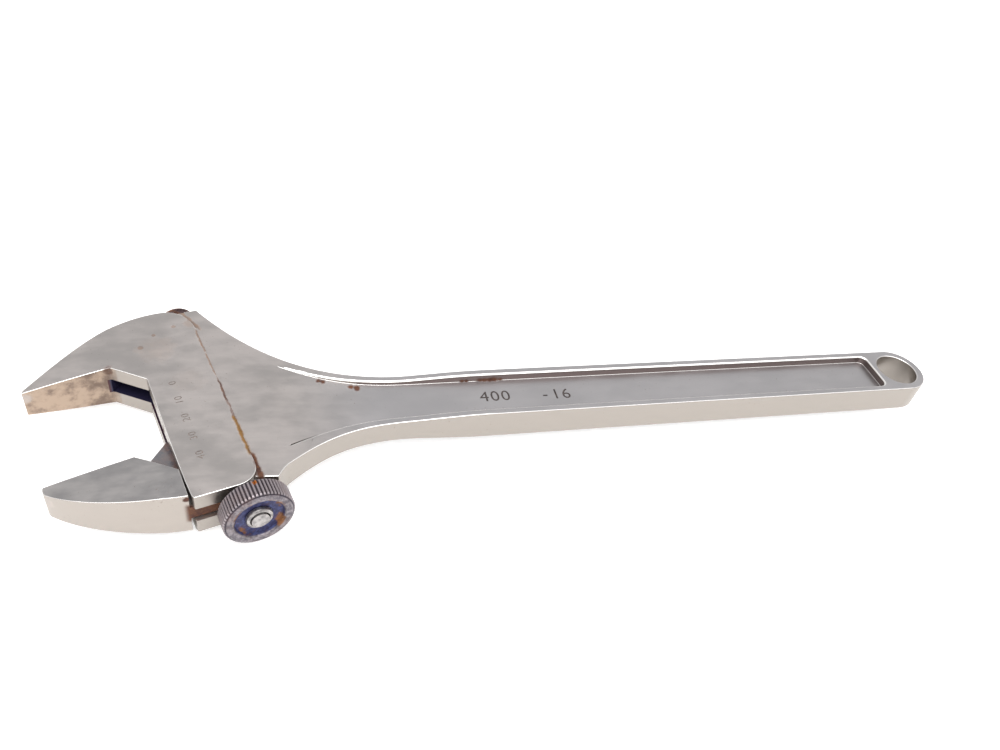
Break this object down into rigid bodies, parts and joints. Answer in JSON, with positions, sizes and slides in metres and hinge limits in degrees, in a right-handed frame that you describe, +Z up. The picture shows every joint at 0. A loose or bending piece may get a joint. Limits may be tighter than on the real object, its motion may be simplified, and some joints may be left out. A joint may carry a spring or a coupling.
{
  "type": "adjustable wrench",
  "caption": "Forged adjustable wrench with sunk handle panels, graduated guide housing, sliding lower jaw and side thumb wheel",
  "frame": {"origin": "under the middle of the wrench's bounding box, on the plane that it lies on", "axes": "+X runs along the handle to the hanging hole, +Z is up with the wrench lying flat on its side, +Y is towards the fixed jaw's back"},
  "size_m": [0.3994, 0.1172, 0.0258],
  "materials": {
    "plated_steel": "worn satin nickel-chrome plating over forged steel, specked with rust",
    "bare_steel": "bare turned steel, dulled",
    "dark_wheel": "blackened steel with bright worn teeth and rust in the dish",
    "bush_iron": "oily grey iron",
    "rusty_iron": "brown rust"
  },
  "bodies": {
    "wrench_body": {"body": "plated_steel", "lower_bush": "bush_iron", "thrust_washer": "bare_steel", "end_plug": "rusty_iron", "friction_spring": "bare_steel"},
    "jaw": {"movable_jaw": "plated_steel"},
    "screw": {"spindle": "bare_steel", "thumb_wheel": "dark_wheel", "hub_collar": "bare_steel"}
  },
  "joints": [
    {"name": "wheel_spin", "type": "hinge", "parent": "wrench_body", "child": "screw", "pos_m": [-0.11836, -0.04649, 0.01289], "axis": [0.2756, -0.9613, 0], "range_deg": [0, 2898.2]},
    {"name": "jaw_slide", "type": "slide", "parent": "wrench_body", "child": "jaw", "axis": [-0.2756, 0.9613, 0], "range_m": [0, 0.0483]}
  ],
  "couplings": [
    {"joint": "wheel_spin", "follows": "jaw_slide", "rad_per_m": 1047.2}
  ]
}
